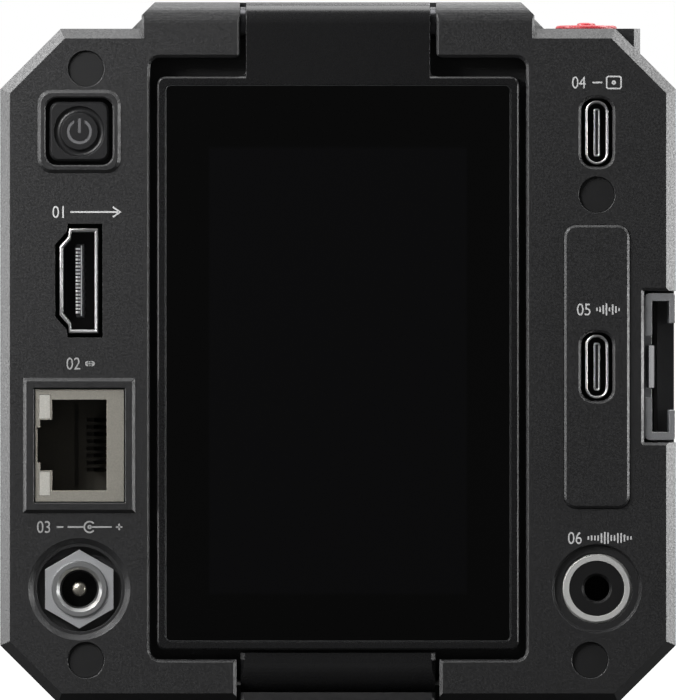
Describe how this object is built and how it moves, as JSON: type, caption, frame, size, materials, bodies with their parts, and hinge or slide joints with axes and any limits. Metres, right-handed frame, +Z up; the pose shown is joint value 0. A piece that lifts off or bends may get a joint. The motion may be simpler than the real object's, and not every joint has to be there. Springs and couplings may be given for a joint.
{
  "type": "live streaming camera",
  "caption": "Box-shaped live streaming camera with a flip-up rear screen, side cold shoe, port columns, tripod foot and a bayonet lens mount without lens.",
  "frame": {"origin": "mouth of the tripod thread in the foot's underside", "axes": "+Z up, -Y towards the rear face with the screen and ports, +Y towards the lens"},
  "size_m": [0.096, 0.0738, 0.1034],
  "materials": {
    "anodised_shell": "fine bead blasted, dark",
    "screen_metal": "smooth satin, dark",
    "cover_glass": "gloss black glass",
    "picture_black": "display panel",
    "black_plastic": "satin",
    "key_black": "satin",
    "record_red": "satin red",
    "shell_steel": "stamped",
    "jack_metal": "satin nickel",
    "shoe_metal": "bead blasted grey",
    "spring_steel": "bright",
    "screw_steel": "dark zinc",
    "contact_gold": "gold plated",
    "light_window": "clear milky",
    "board_green": "solder mask",
    "sink_aluminium": "extruded",
    "mount_chrome": "polished",
    "bush_brass": "nickel plated",
    "pad_rubber": "matt",
    "sensor_cover": "coated"
  },
  "bodies": {
    "camera_body": {"rear_cover": "anodised_shell", "mid_frame": "anodised_shell", "front_cover": "anodised_shell", "top_rail": "anodised_shell", "button_deck": "anodised_shell", "tripod_foot": "anodised_shell", "audio_panel": "anodised_shell", "finger_roll": "anodised_shell", "video_tongue": "black_plastic", "lan_insert": "black_plastic", "dc_sleeve": "black_plastic", "upper_usb_tongue": "black_plastic", "lower_usb_tongue": "black_plastic", "aux_socket": "black_plastic", "lens_contacts": "black_plastic", "power_switch": "black_plastic", "record_switch": "black_plastic", "screw_caps": "black_plastic", "video_shell": "shell_steel", "upper_usb_shell": "shell_steel", "lower_usb_shell": "shell_steel", "dc_nut": "shell_steel", "dc_pin": "shell_steel", "hinge_shafts": "shell_steel", "hinge_washers": "shell_steel", "lan_shell": "jack_metal", "aux_ring": "jack_metal", "cold_shoe": "shoe_metal", "shoe_spring": "spring_steel", "foot_screws": "screw_steel", "rail_screws": "screw_steel", "cover_screws": "screw_steel", "front_screws": "screw_steel", "shoe_screws": "screw_steel", "board_screws": "screw_steel", "lan_contacts": "contact_gold", "lan_lights": "light_window", "button_board": "board_green", "left_port_board": "board_green", "right_port_board": "board_green", "main_board": "board_green", "sensor_board": "board_green", "board_links": "board_green", "heat_sink": "sink_aluminium", "lens_ring": "mount_chrome", "tripod_bush": "bush_brass", "top_bush": "bush_brass", "foot_pads": "pad_rubber", "sensor_package": "sensor_cover"},
    "screen": {"screen_frame": "screen_metal", "screen_back": "screen_metal", "screen_glass": "cover_glass", "picture_panel": "picture_black", "screen_board": "board_green", "screen_screws": "screw_steel"},
    "power_key": {"power_button": "key_black"},
    "record_key": {"record_button": "record_red"},
    "lens_lock": {"release_button": "key_black", "lock_plate": "shell_steel", "lock_pin": "shell_steel"}
  },
  "joints": [
    {"name": "screen_flip", "type": "hinge", "parent": "camera_body", "child": "screen", "pos_m": [0, -0.031, 0.1004], "axis": [-1, 0, 0], "range_deg": [0, 180]},
    {"name": "power_press", "type": "slide", "parent": "camera_body", "child": "power_key", "axis": [0, 1, 0], "range_m": [0, 0.0006], "stiffness_N_per_m": 400, "springref_m": -0.0005},
    {"name": "record_press", "type": "slide", "parent": "camera_body", "child": "record_key", "axis": [0, 0, -1], "range_m": [0, 0.0008], "stiffness_N_per_m": 400, "springref_m": -0.0005},
    {"name": "lens_release", "type": "slide", "parent": "camera_body", "child": "lens_lock", "axis": [0, -1, 0], "range_m": [0, 0.0015], "stiffness_N_per_m": 400, "springref_m": -0.0005}
  ]
}
